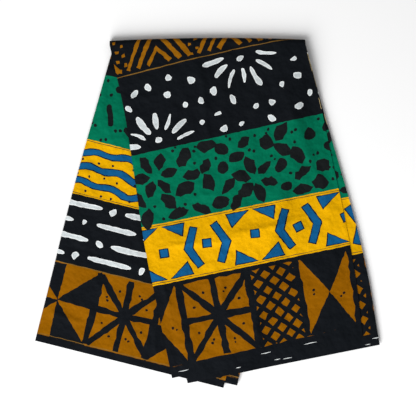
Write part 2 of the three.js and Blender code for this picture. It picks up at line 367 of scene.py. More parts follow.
class Lay:
    """How a sheet lies: the place of each of its points in the scene."""

    def __init__(self, flap, reach, lines, is_front, creases, deepest, drop_left=None):
        self.is_front = is_front
        self.creases = creases
        self.deepest = deepest
        self.drop_left = drop_left
        self.left = edge_line(flap, reach, "left")
        self.right = edge_line(flap, reach, "right")
        selvage = 0.0 if is_front else CLOTH_WIDTH
        rows = sorted([(selvage, self.left[1][0], self.right[1][0]), *lines])
        self.at = np.array([row[0] for row in rows], float)
        self.left_y = np.array([row[1] for row in rows])
        self.right_y = np.array([row[2] for row in rows])

    def plan(self, a, b):
        left_y = np.interp(b, self.at, self.left_y)
        right_y = np.interp(b, self.at, self.right_y)
        left_x = np.interp(left_y, self.left[1], self.left[0])
        right_x = np.interp(right_y, self.right[1], self.right[0])
        share = a / STRIP_WIDTH
        return mix(left_x, right_x, share), mix(left_y, right_y, share)

    def past_fold(self, a, b):
        """How far a point lies past the fold's line, less than nothing on the flap."""
        return self.plan(a, b)[1] - mix(FOLD_LEFT_Y, FOLD_RIGHT_Y, a / STRIP_WIDTH)

    def at_fold(self, a, past):
        """The place along the strip that lies this far past the fold's line."""
        tries = np.linspace(*FOLD_SEARCH)
        found = []
        for place in np.atleast_1d(a):
            reached = self.past_fold(place, tries)
            order = np.argsort(reached)
            found.append(np.interp(past, reached[order], tries[order]))
        return np.array(found)

    def place(self, a, b, height):
        """The sheet's points in the scene, in millimetres, at a height above what its flap lies on."""
        share = a / STRIP_WIDTH
        x, y = self.plan(a, b)
        fold_y = mix(FOLD_LEFT_Y, FOLD_RIGHT_Y, share)
        past = y - fold_y
        along = clamp(-past / FLAP_LENGTH)
        bow = fold_bow(share, along)
        y = y + bow
        crease = crease_height(x, y, self.creases, self.deepest)
        if not self.is_front:
            return np.stack([x, y, height + crease + swell(x, y, height)], -1)
        radius = FOLD_INSIDE + height
        angle = np.clip(past / radius, 0, TURN_MOST)
        over = past > 0
        bed = under_front_flap(x, y)
        bends = smooth(-past / CREASES_FROM)
        z = bed + height + bends * crease - self.droop(share, past, a)
        z = z + bends * swell(x, y, z)
        turned_y = fold_y + bow + radius * np.sin(angle) + FOLD_END_CLEAR * (angle > TURN_CLEAR_FROM)
        turned_z = FOLD_HEIGHT + radius * np.cos(angle)
        return np.stack([x, np.where(over, turned_y, y), np.where(over, turned_z, z)], -1)

    def droop(self, share, past, a):
        """How far a front sheet sinks past the hidden selvage, and the cover at its left edge."""
        left_length = FOLD_LEFT_Y - FRONT_FLAP["left_y"][-1]
        right_length = FOLD_RIGHT_Y - FRONT_FLAP["right_y"][-1]
        carried = mix(left_length, right_length, share) + curve_through(FRONT_HIDDEN["selvage"], clamp(share))
        beyond = -past - carried
        droop = np.minimum(SINK_MOST, SINK_RATE * np.maximum(beyond, 0) ** 2)
        if self.drop_left is not None:
            edge = -curve_through(self.drop_left, clamp(-past / FLAP_LENGTH))
            left = smooth((edge - 1 - a) / LEFT_SINK_WIDTH)
            droop = droop + LEFT_SINK * left * smooth(-past / LEFT_SINK_FROM)
        return droop


def turned(centre, a, b, turn):
    """A point set off from a centre, in a direction turned by an angle."""
    return (
        centre[0] + a * math.cos(turn) - b * math.sin(turn),
        centre[1] + a * math.sin(turn) + b * math.cos(turn),
    )


def rectangle(left, low, right, high):
    return [(left, low), (right, low), (right, high), (left, high)]


def counter_clockwise(outline):
    """The outline, turned round if it runs clockwise."""
    area = sum(p[0] * q[1] - q[0] * p[1] for p, q in zip(outline, outline[1:] + outline[:1]))
    return outline if area > 0 else outline[::-1]


def rounded(outline, times):
    """The outline with its corners cut again and again."""
    for _ in range(times):
        cut = []
        for p, q in zip(outline, outline[1:] + outline[:1]):
            cut += [between(p, q, 0.25), between(p, q, 0.75)]
        outline = cut
    return outline


def inset(outline, depth):
    """An outline moved inwards by a depth."""
    outline = counter_clockwise(outline)
    moved = []
    count = len(outline)
    for i, (a, b) in enumerate(outline):
        before = outline[i - 1]
        after = outline[(i + 1) % count]
        first = unit(a - before[0], b - before[1])
        second = unit(after[0] - a, after[1] - b)
        lean = max(0.35, 1 + first[0] * second[0] + first[1] * second[1])
        moved.append((a - depth * (first[1] + second[1]) / lean, b + depth * (first[0] + second[0]) / lean))
    return moved


def unit(a, b):
    length = math.hypot(a, b) or 1.0
    return a / length, b / length


def ribbon(line, widths):
    """The outline of a strip along a line, with a width at each of its points."""
    left = []
    right = []
    for i, (a, b) in enumerate(line):
        before = line[max(i - 1, 0)]
        after = line[min(i + 1, len(line) - 1)]
        first = unit(a - before[0], b - before[1]) if i > 0 else unit(after[0] - a, after[1] - b)
        second = unit(after[0] - a, after[1] - b) if i < len(line) - 1 else first
        lean = max(0.5, 1 + first[0] * second[0] + first[1] * second[1])
        reach = widths[i] / 2 / lean
        off_a = -(first[1] + second[1]) * reach
        off_b = (first[0] + second[0]) * reach
        left.append((a + off_a, b + off_b))
        right.append((a - off_a, b - off_b))
    return left + right[::-1]


# The width of the white rim of a pale mark.
PALE_RIM = 1.3

# How far the grounds and lines run past the strip's sides, and how far the marks on them do.
GROUND_PAST = 30
MARKS_PAST = 20


class Print:
    """The marks of one sheet's print, in the order in which they are laid down."""

    def __init__(self, seed):
        self.random = random.Random(seed)
        self.marks = []

    def near(self, value, spread):
        """A value that may be a little more or less, by as much as the spread."""
        return value + self.random.uniform(-spread, spread)

    def uneven(self, size, least, most):
        """A size, times something between two numbers."""
        return size * self.random.uniform(least, most)

    def lay(self, ink, outline, step, rough):
        """Adds a mark, its outline divided into steps of about one length whose ends stray a little."""
        points = []
        for p, q in zip(outline, outline[1:] + outline[:1]):
            pieces = max(1, round(math.dist(p, q) / step))
            for i in range(pieces):
                a, b = between(p, q, i / pieces)
                points.append((self.near(a, rough), self.near(b, rough)))
        self.marks.append((ink, counter_clockwise(points)))

    def rimmed(self, rim, middle, outline, width, step, rough):
        """A mark with a rim in another ink. Its middle is a little smoother."""
        self.lay(rim, outline, step, rough)
        self.lay(middle, inset(outline, width), step, rough * 0.7)

    def band(self, ink, low, high):
        """A ground from side to side of the strip."""
        ground = rectangle(-GROUND_PAST, low, STRIP_WIDTH + GROUND_PAST, high)
        self.lay(ink, ground, step=6.0, rough=0.5)

    def borders(self, ink, low, high, depth, width):
        """A thin line inside each edge of a band."""
        self.border(ink, low + depth, width)
        self.border(ink, high - depth, width)

    def border(self, ink, at, width):
        """A line from side to side of the strip, thicker here and thinner there."""
        line = [(a, self.near(at, 0.5)) for a in range(-GROUND_PAST, int(STRIP_WIDTH) + GROUND_PAST + 5, 12)]
        widths = [self.uneven(width, 0.6, 1.3) for _ in line]
        self.lay(ink, ribbon(line, widths), step=6.0, rough=0.15)

    def blob_outline(self, centre, length, width, turn, corners, least=0.74):
        """A shape with a few corners, each at its own distance. The least of them is a share of the whole."""
        most = 1.2
        corner_spread = 0.28
        outline = []
        for i in range(corners):
            angle = math.tau * (i + self.random.uniform(-corner_spread, corner_spread)) / corners
            reach = self.random.uniform(least, most) / 2
            a = length * reach * math.cos(angle)
            b = width * reach * math.sin(angle)
            outline.append(turned(centre, a, b, turn))
        return outline

    def pebble(self, centre, size):
        """A pale stone with a white rim."""
        turn = self.random.uniform(0, math.pi)
        corners = self.random.choice((4, 5, 5, 6, 7))
        width = self.uneven(size, 0.9, 1.2)
        outline = self.blob_outline(centre, size * 1.4, width, turn, corners, least=0.56)
        self.rimmed("white", "pale", rounded(outline, 1), PALE_RIM, step=6.0, rough=0.35)

    def dash(self, start, end, width, bend, taper):
        """A pale stroke of the brush, bent and tapered, with blunt ends."""
        part = 7
        end_width = 0.45
        count = max(3, round(math.dist(start, end) / part))
        across = unit(end[1] - start[1], start[0] - end[0])
        line = []
        widths = []
        for i in range(count + 1):
            t = i / count
            bow = bend * math.sin(math.pi * t)
            a, b = between(start, end, t)
            line.append((a + bow * across[0], b + bow * across[1]))
            ends = min(1.0, end_width + 4 * min(t, 1 - t))
            widths.append(self.uneven(width * mix(1.0, taper, t) * ends, 0.8, 1.15))
        self.rimmed("white", "pale", rounded(ribbon(line, widths), 1), PALE_RIM, step=7.0, rough=0.3)

    def leaf(self, ink, centre, length, width, turn):
        """A pointed leaf, fullest in its middle."""
        parts = 5
        fullness = 0.6
        upper = []
        lower = []
        for i in range(1, parts):
            t = i / parts
            half = width / 2 * math.sin(math.pi * t) ** fullness
            upper.append((length * self.near(t - 0.5, 0.05), self.uneven(half, 0.7, 1.25)))
            lower.append((length * self.near(t - 0.5, 0.05), self.uneven(-half, 0.7, 1.25)))
        outline = [(-length / 2, 0.0), *lower, (length / 2, 0.0), *upper[::-1]]
        self.lay(ink, [turned(centre, a, b, turn) for a, b in outline], step=5.0, rough=0.5)

    def chunk(self, ink, centre, size):
        """A blunt shape with a few corners."""
        stretch = 1.3
        turn = self.random.uniform(0, math.pi)
        outline = self.blob_outline(centre, size * stretch, size, turn, self.random.choice((5, 6, 7)))
        self.lay(ink, rounded(outline, 1), step=5.0, rough=0.5)

    def dot(self, ink, centre, size):
        outline = self.blob_outline(centre, size * 1.2, size * 1.2, 0.0, 6)
        self.lay(ink, rounded(outline, 1), step=9.0, rough=0.1)

    def dots(self, ink, centre, size):
        """One dot, or two side by side."""
        pair_share = 0.6
        self.dot(ink, centre, size)
        if self.random.random() < pair_share:
            turn = self.random.uniform(0, math.tau)
            self.dot(ink, turned(centre, size * 1.45, 0, turn), self.uneven(size, 0.7, 1))

    def line(self, ink, start, end, width, rough=1.0):
        """A heavy line with uneven sides."""
        part = 9
        count = max(2, round(math.dist(start, end) / part))
        points = [between(start, end, i / count) for i in range(count + 1)]
        widths = [self.uneven(width, 0.8, 1.2) for _ in points]
        self.lay(ink, ribbon(points, widths), step=9.0, rough=rough)

    def sides(self, left, right, low, high, width):
        """A heavy line at each side of a panel."""
        for side in (left, right):
            self.line("black", (side, low), (self.near(side, 3), high), width)

    def scatter(self, low, high, gap, taken=(), tries=1500):
        """Places that are at least a gap apart, and clear of the discs that are taken."""
        found = []
        for _ in range(tries):
            across = self.random.uniform(-MARKS_PAST, STRIP_WIDTH + MARKS_PAST)
            spot = (across, self.random.uniform(low, high))
            if any(math.dist(spot, other) < gap for other in found):
                continue
            if any(math.dist(spot, centre) < reach for centre, reach in taken):
                continue
            found.append(spot)
        return found


def repeats(first, pitch, past=MARKS_PAST):
    """Where the parts of a layout start across the strip, at a pitch."""
    left = first
    while left < STRIP_WIDTH + past:
        yield left
        left += pitch


def plain_band(ink, low, high, start):
    """A dark margin beside a selvage, without a mark."""
    ink.band("black", low, high)


def margin_band(ink, low, high, start):
    """A dark margin beside a selvage, with a few thin pale slivers."""
    widths = [0.4, 1.2, 0.5]
    gaps = (5, 60, 95, 130)
    middle = (low + high) / 2
    a = start - 60
    while a < STRIP_WIDTH:
        length = ink.random.uniform(8, 24)
        b = ink.near(middle, 5)
        sliver = [(a, b), (a + length / 2, ink.near(b, 0.6)), (a + length, b)]
        ink.lay("white", ribbon(sliver, widths), step=6, rough=0.15)
        a += length + ink.random.choice(gaps)


def star_panel(ink, left, low, high, width):
    """Heavy spokes from the middle of a panel to its rim, with dots between them."""
    spoke_width = 11.2
    side_width = 12.5
    dot_size = 4.6
    dot_share = 0.64
    middle = (left + width / 2, (low + high) / 2)
    right = left + width
    rim = [(left, low), (middle[0], low), (right, low), (right, middle[1])]
    rim += [(right, high), (middle[0], high), (left, high), (left, middle[1])]
    for p, q in zip(rim, rim[1:] + rim[:1]):
        ink.line("black", middle, (ink.near(p[0], 4), ink.near(p[1], 3)), spoke_width)
        gap = between(p, q, 0.5)
        ink.dots("black", between(middle, gap, dot_share), dot_size)
    ink.sides(left, right, low, high, side_width)


def net_panel(ink, left, low, high, width):
    """A slanting net of small openings."""
    right = left + width
    pitch = 28.0
    line_width = 8.2
    side_width = 11.0
    least_length = 8
    for lean in (1, -1):
        for step in range(int((width + high - low) / pitch) + 2):
            base = (low - right if lean > 0 else low + left) + step * pitch
            crossings = []
            for a in (left, right):
                b = base + lean * a
                if low <= b <= high:
                    crossings.append((a, b))
            for b in (low, high):
                a = (b - base) * lean
                if left < a < right:
                    crossings.append((a, b))
            if len(crossings) == 2 and math.dist(*crossings) > least_length:
                ink.line("black", *crossings, line_width, rough=0.9)
    ink.sides(left, right, low, high, side_width)


def bow_panel(ink, left, low, high, width):
    """Two dark wedges that meet in the middle of the panel, with dots beside them."""
    wedge_inset = 3
    dot_size = 4.8
    dot_share = 0.45
    middle = (left + width / 2, (low + high) / 2)
    right = left + width
    for edge in (low, high):
        tip = (ink.near(middle[0], 3), middle[1])
        ink.lay("black", [(left + wedge_inset, edge), (right - wedge_inset, edge), tip], step=5, rough=0.7)
    for side in (left, right):
        towards = mix(side, middle[0], dot_share)
        ink.dots("black", (towards, ink.near(middle[1], 8)), dot_size)


def brown_band(ink, low, high, start):
    """Panels with spokes, a net and wedges, in turn, between two heavy lines."""
    panels = ((star_panel, 122), (net_panel, 86), (bow_panel, 92))
    clear = 3
    ink.band("brown", low, high)
    left = start - sum(width for _, width in panels)
    number = 0
    while left < STRIP_WIDTH + MARKS_PAST:
        panel, width = panels[number % len(panels)]
        if left + width > -MARKS_PAST:
            panel(ink, left, low + clear, high - clear, width)
        left += width
        number += 1
    ink.border("black", high - 3, 10)
    ink.border("black", low + 1, 5)


def bar_band(ink, low, high, start):
    """Bent bars and small squares between two rows of wedges."""
    pitch = 158
    rim = 1.9
    border_inset = 3.2
    wedge_inset = 6
    wedge_height = 27
    wedges = ((0, 42, 7), (46, 88, 81))
    bars_at = 119
    bar_reach = 33
    bar_bend = 17
    bar_half = 36
    bar_widths = [14.5, 16.0, 14.5]
    squares_at = (44, bars_at)
    square_half = 8.6
    middle = (low + high) / 2
    ink.band("yellow", low, high)
    ink.borders("navy", low, high, border_inset, 1.0)
    for left in repeats(start - 190, pitch):
        for edge, way in ((low + wedge_inset, 1), (high - wedge_inset, -1)):
            for first, last, tip in wedges:
                top = (left + tip, edge + way * ink.near(wedge_height, 2))
                wedge = [(left + first, edge), (left + last, edge), top]
                ink.rimmed("navy", "blue", wedge, rim, step=5, rough=0.5)
        for way in (1, -1):
            tip = left + bars_at + way * bar_reach
            end = ink.near(tip - way * bar_bend, 1.5)
            bar = [(end, middle - bar_half), (tip, ink.near(middle, 2)), (end, middle + bar_half)]
            ink.rimmed("navy", "blue", ribbon(bar, bar_widths), rim, step=5, rough=0.5)
        for at in squares_at:
            reach = ink.near(square_half, 0.7)
            centre = (left + at, ink.near(middle, 3))
            lean = ink.near(0.1, 0.2)
            square = [turned(centre, *corner, lean) for corner in rectangle(-reach, -reach, reach, reach)]
            ink.rimmed("navy", "blue", square, rim, step=6, rough=0.4)


def leaf_band(ink, low, high, start):
    """Black leaves and chunks, close together, some round a middle like petals."""
    rosettes = ((66, 0.66), (236, 0.34))
    rosette_reach = 47
    petals = 6
    petal_at = 25
    petal = (33, 18)
    leaf = (34, 20)
    leaf_share = 0.6
    chunk_size = 23
    leaf_gap = 26.5
    leaf_reach = 19
    dot_gap = 17
    dot_size = 5.4
    ink.band("green", low, high)
    taken = []
    for at, height in rosettes:
        centre = ((start + at) % (STRIP_WIDTH + 60) - 30, mix(low, high, height))
        taken.append((centre, rosette_reach))
        turn = ink.random.uniform(0, 1)
        for i in range(petals):
            way = turn + math.tau * i / petals
            spot = turned(centre, petal_at, 0, way)
            ink.leaf("leaf", spot, ink.near(petal[0], 4), ink.near(petal[1], 3), ink.near(way, 0.25))
    spots = ink.scatter(low + 9, high - 9, leaf_gap, taken)
    for spot in spots:
        if ink.random.random() < leaf_share:
            length = ink.near(leaf[0], 7)
            ink.leaf("leaf", spot, length, ink.near(leaf[1], 4), ink.random.uniform(0, math.pi))
        else:
            ink.chunk("leaf", spot, ink.near(chunk_size, 5))
    filled = taken + [(spot, leaf_reach) for spot in spots]
    for spot in ink.scatter(low + 5, high - 5, dot_gap, filled, tries=900):
        ink.dots("leaf", spot, dot_size)


def pebble_band(ink, low, high, start):
    """Pale pebbles on black, round two half fans of strokes that open towards each other."""
    fan_reach = 82
    strokes = 7
    stroke_from = 32
    stroke_length = 32
    stroke_width = 8
    pebble_size = 13
    pebble_gap = 27
    taken = []
    for at, edge, way in ((92, low + 4, 1), (262, high - 4, -1)):
        centre = ((start + at) % (STRIP_WIDTH + 80) - 40, edge)
        taken.append((centre, fan_reach))
        for i in range(strokes):
            angle = way * math.pi * (i + 0.5) / strokes
            inner = ink.near(stroke_from, 3)
            outer = inner + ink.near(stroke_length, 8)
            start_point = turned(centre, inner, 0, angle)
            end_point = turned(centre, outer, 0, ink.near(angle, 0.06))
            width = ink.near(stroke_width, 1.2)
            ink.dash(start_point, end_point, width, ink.near(0, 2.5), ink.random.choice((0.6, 1.4)))
        ink.pebble(turned(centre, 13, 0, way * math.pi / 2), pebble_size)
    for spot in ink.scatter(low + 11, high - 11, pebble_gap, taken):
        ink.pebble(spot, ink.near(pebble_size, 3))


def chevron_band(ink, low, high, start):
    """Golden chevrons, one in another, and columns of small squares between them."""
    pitch = 128
    foot = 8
    chevrons = ((56, 96), (38, 60), (20, 26))
    stroke_width = 7.2
    squares = 7
    square_pitch = 17
    square_size = 8
    for left in repeats(start - 200, pitch, past=60):
        for reach, rise in chevrons:
            line = [(left - reach, low + foot), (left, low + foot + rise), (left + reach, low + foot)]
            ink.lay("gold", ribbon(line, [ink.near(stroke_width, 1.5) for _ in line]), step=5, rough=0.8)
        for row in range(squares):
            for side in (-1, 1):
                a = left + pitch / 2 + side * ink.near(6, 1.5)
                centre = (a, low + 14 + row * square_pitch + side * 4)
                ink.lay("gold", ink.blob_outline(centre, square_size, square_size, 0.7, 4), step=5, rough=0.5)


def stroke_band(ink, low, high, start):
    """Heavy black strokes and dots, far apart on green."""
    widths = [8, 11, 9.5, 11, 8]
    stroke_gap = 44
    stroke_reach = 22
    dot_gap = 24
    dot_size = 5.8
    ink.band("green", low, high)
    spots = ink.scatter(low + 14, high - 14, stroke_gap)
    for spot in spots:
        turn = ink.random.uniform(-0.9, 1.2)
        half = ink.random.uniform(14, 27)
        line = [turned(spot, t * half, ink.near(0, 1.5), turn) for t in (-1, -0.5, 0, 0.5, 1)]
        ink.lay("leaf", rounded(ribbon(line, widths), 1), step=5, rough=0.6)
    filled = [(spot, stroke_reach) for spot in spots]
    for spot in ink.scatter(low + 6, high - 6, dot_gap, filled, tries=900):
        ink.dots("leaf", spot, dot_size)


def wave_band(ink, low, high, start):
    """Three blue waves on yellow, with dots between them."""
    border_inset = 2.4
    waves_at = (21, 49, 77)
    wave_height = 7.5
    wave_step = 7
    wave_stretch = 13.5
    wave_beat = 47
    rim = 1.8
    dots_at = (34, 62, 89)
    dot_size = 4.4
    ink.band("yellow", low, high)
    ink.borders("navy", low, high, border_inset, 1.0)
    for number, at in enumerate(waves_at):
        line = []
        for a in range(-GROUND_PAST, int(STRIP_WIDTH) + GROUND_PAST + 6, wave_step):
            beat = math.cos((a + start) / wave_beat)
            wave = wave_height * math.sin((a + start + 11 * number) / wave_stretch) * beat
            line.append((a, low + at + wave))
        widths = [ink.random.uniform(11.5, 14.5) for _ in line]
        ink.rimmed("navy", "blue", ribbon(line, widths), rim, step=9, rough=0.4)
    for at in dots_at:
        a = -MARKS_PAST
        while a < STRIP_WIDTH + MARKS_PAST:
            ink.dot("navy", (a, ink.near(low + at, 3)), dot_size)
            a += ink.random.uniform(18, 42)


def dash_band(ink, low, high, start):
    """Rows of long pale dashes, set like bricks, with pebbles between."""
    rows = 4
    dash_length = 76
    dash_width = 9.4
    gap = 42
    pebble_at = 20
    pebble_size = 12
    for row in range(rows):
        b = mix(low + 15, high - 17, row / (rows - 1))
        a = start - 250 + (row % 2) * 66
        while a < STRIP_WIDTH + MARKS_PAST:
            length = ink.near(dash_length, 9)
            ends = ((a, ink.near(b, 1.5)), (a + length, ink.near(b, 1.5)))
            ink.dash(*ends, dash_width, ink.near(0, 1.5), 0.9)
            ink.pebble((a + length + pebble_at, ink.near(b, 2)), pebble_size)
            a += length + gap


def wedge_band(ink, low, high, start):
    """Great dark wedges round pale brown diamonds, and spoked panels between them."""
    wedges_width = 132
    star_width = 112
    clear = 3
    ink.band("brown", low, high)
    for left in repeats(start - 290, wedges_width + star_width):
        right = left + wedges_width
        middle = (left + wedges_width / 2, (low + high) / 2)
        for i, corner in enumerate(rectangle(left, low, right, high)):
            beside = (middle[0], corner[1]) if i % 2 == 0 else (corner[0], middle[1])
            beside = (ink.near(beside[0], 4), ink.near(beside[1], 3))
            ink.lay("black", [corner, beside, (ink.near(middle[0], 2), middle[1])], step=5, rough=0.7)
        star_panel(ink, right, low + clear, high - clear, star_width)
    ink.border("umber", high - 2, 1.3)


# The bands of the print along the strip, from the front flap's selvage to the back flap's.
BANDS = (
    (0, 18, margin_band, "black"),
    (18, 166, brown_band, "brown"),
    (166, 272, bar_band, "yellow"),
    (272, 399, leaf_band, "green"),
    (399, 540, pebble_band, "black"),
    (540, 675, chevron_band, "black"),
    (675, 793, stroke_band, "green"),
    (793, 891, wave_band, "yellow"),
    (891, 1010, dash_band, "black"),
    (1010, 1154, wedge_band, "brown"),
    (1154, 1168, plain_band, "black"),
)
UMBER_LINES = (540.5, 1010.0)
UMBER_WIDTH = 1.7

# Where the raw cotton shows along the cut edge at the strip's right.
RAW_EDGE = ((408, 428), (476, 508), (1030, 1052))
RAW_WIDTH = 0.8


# What each sheet's print is drawn from: its seed, the part of the strip that it covers, and where its bands'
# layouts start.
PRINTS = {
    "front_cover": (7, 0, 640, (0, 40, 18, 0, 0, 22)),
    "front_second": (19, 0, 640, (0, 130, 74, 60, 70, 90)),
    "back_cover": (29, 540, CLOTH_WIDTH, (30, 0, 0, 10, 20, 0, 40)),
    "back_second": (31, 540, CLOTH_WIDTH, (80, 20, 50, 60)),
    "under_back": (37, 540, CLOTH_WIDTH, (60, 10, 30)),
    "under_front": (43, 0, 600, (20, 60, 40)),
}


def printed(seed, low, high, starts):
    """The marks of one sheet's print between two places along the strip."""
    ink = Print(seed)
    for number, (band_low, band_high, draw, _) in enumerate(BANDS):
        if band_low < high and band_high > low:
            draw(ink, band_low, band_high, starts[number % len(starts)])
    for at in UMBER_LINES:
        if low < at < high:
            ink.border("umber", at, UMBER_WIDTH)
    inner = STRIP_WIDTH - RAW_WIDTH
    outer = STRIP_WIDTH + 2
    for run_low, run_high in RAW_EDGE:
        ink.lay("raw", rectangle(inner, run_low, outer, run_high), step=5, rough=0.3)
    return ink.marks


class ClothMesh:
    """Shells of cloth, gathered into one mesh, with the ink of each face and the way of its threads."""

    def __init__(self):
        self.points = []
        self.faces = []
        self.inks = []
        self.threads = []
        self.maps = []
        self.count = 0

    def add(self, points, faces, inks, threads, maps):
        self.points.append(points)
        self.threads.append(threads)
        self.faces.append(faces + self.count)
        self.inks.append(inks)
        self.maps.append(maps)
        self.count += len(points)

    def finish(self, name, inks, material):
        """The mesh as an object, in metres."""
        faces = np.concatenate(self.faces)
        points = np.concatenate(self.points) * MM
        mesh = bpy.data.meshes.new(name)
        mesh.from_pydata(points.tolist(), [], faces.tolist())
        colours = np.ones((len(faces), 3, 4), np.float32)
        colours[:, :, :3] = inks[np.concatenate(self.inks)][:, None, :]
        layer = mesh.color_attributes.new("print", "FLOAT_COLOR", "CORNER")
        layer.data.foreach_set("color", colours.ravel())
        threads = np.zeros((len(points), 3), np.float32)
        threads[:, :2] = np.concatenate(self.threads) * MM
        layer = mesh.attributes.new("threads", "FLOAT_VECTOR", "POINT")
        layer.data.foreach_set("vector", threads.ravel())
        layer = mesh.uv_layers.new(name="OFBake")
        layer.uv.foreach_set("vector", np.concatenate(self.maps).astype(np.float32).ravel())
        mesh.validate()
        piece = bpy.data.objects.new(name, mesh)
        bpy.context.scene.collection.objects.link(piece)
        mesh.materials.append(material)
        bpy.ops.object.select_all(action="DESELECT")
        piece.select_set(True)
        bpy.context.view_layer.objects.active = piece
        bpy.ops.object.shade_smooth_by_angle(angle=SMOOTH_ANGLE)
        return piece


INK_NAMES = tuple(INKS)

# Faces that meet at less than this angle are shaded as one.
SMOOTH_ANGLE = math.radians(42)

# Points of a sheet that are closer than this are merged where it is cut.
MERGE = 0.02
RIM_STEP = 5.0

# How far a sheet stays from the edge of its room on the map, and how wide its walls are there.
MAP_EDGE = 0.012
WALL_ON_MAP = 0.0012

# Rows of points over the fold: where the plain points end and the rows begin, how far short of the sheet's
# end they stop, and how far apart they are.
TURN_CLEAR = -3.0
TURN_FROM = -2.5
TURN_SHORT = 0.5
TURN_STEP = 1.6

# A mark is spilt if it gets this many times its own area, and this much more.
SPILT_SHARE = 1.4
SPILT_AREA = 8.0


def outline_of(low, high_at, step):
    """The outline of a sheet in the flat, from one selvage to where it ends at or near the fold."""
    across = np.linspace(0, STRIP_WIDTH, int(STRIP_WIDTH / step) + 1)
    ends = high_at(across)
    outline = [(a, low) for a in across]
    for share in np.arange(step, abs(ends[-1] - low) - step / 2, step):
        outline.append((STRIP_WIDTH, low + math.copysign(share, ends[-1] - low)))
    outline += list(zip(across[::-1], ends[::-1]))
    for share in np.arange(step, abs(ends[0] - low) - step / 2, step)[::-1]:
        outline.append((0.0, low + math.copysign(share, ends[0] - low)))
    return outline


def spilt_marks(places, triangles, sources, outlines):
    """The marks whose outline crosses itself, so that the cut sheet gives them more room than they have."""
    a = places[triangles[:, 0]]
    b = places[triangles[:, 1]]
    c = places[triangles[:, 2]]
    sizes = abs((b[:, 0] - a[:, 0]) * (c[:, 1] - a[:, 1]) - (b[:, 1] - a[:, 1]) * (c[:, 0] - a[:, 0])) / 2
    given = np.zeros(len(outlines))
    for size, source in zip(sizes, sources):
        for mark in source:
            given[mark] += size
    spilt = set()
    for mark, outline in enumerate(outlines[1:], 1):
        pairs = zip(outline, outline[1:] + outline[:1])
        own = abs(sum(p[0] * q[1] - q[0] * p[1] for p, q in pairs)) / 2
        if given[mark] > SPILT_SHARE * own + SPILT_AREA:
            spilt.add(mark)
    return spilt


def loose_points(lay, end_past, from_b, to_b, step):
    """The points inside a sheet that let it bend, in closer rows where it turns over the fold."""
    across = np.arange(step / 2, STRIP_WIDTH, step)
    grid_a, grid_b = np.meshgrid(across, np.arange(from_b + step / 2, to_b, step))
    loose = np.stack([grid_a.ravel(), grid_b.ravel()], 1)
    if end_past <= 0:
        return loose
    rows = [loose[lay.past_fold(loose[:, 0], loose[:, 1]) <= TURN_CLEAR]]
    for past in np.arange(TURN_FROM, end_past - TURN_SHORT, TURN_STEP):
        rows.append(np.stack([across, lay.at_fold(across, past)], 1))
    return np.concatenate(rows)


def cut_sheet(outline, marks, loose, runs_down):
    """Cuts a flat sheet along the lines of its print: its points, its triangles and the ink of each."""
    points = [Vector(p) for p in outline]
    faces = [list(range(len(outline)))]
    if runs_down:
        faces[0].reverse()
    inks = [INK_NAMES.index("black")]
    for ink, mark in marks:
        start = len(points)
        points.extend(Vector(p) for p in mark)
        faces.append(list(range(start, len(points))))
        inks.append(INK_NAMES.index(ink))
    points.extend(Vector(p) for p in loose.tolist())
    cut, _, triangles, _, _, sources = delaunay_2d_cdt(points, [], faces, 1, MERGE, True)
    cut = np.array([tuple(p) for p in cut])
    inside = [i for i, source in enumerate(sources) if 0 in source]
    triangles = np.array([triangles[i] for i in inside])
    sources = [set(sources[i]) for i in inside]
    spilt = spilt_marks(cut, triangles, sources, [[points[i] for i in face] for face in faces])
    laid = np.array([inks[max(source - spilt)] for source in sources])
    used, triangles = np.unique(triangles, return_inverse=True)
    return cut[used], triangles.reshape(-1, 3), laid


def rim_of(triangles, count):
    """The edges that only one triangle has, and which of all the edges they are."""
    edges = np.concatenate([triangles[:, [0, 1]], triangles[:, [1, 2]], triangles[:, [2, 0]]])
    keys = edges[:, 0] * count + edges[:, 1]
    rim = ~np.isin(edges[:, 1] * count + edges[:, 0], keys)
    return edges[rim].T, rim


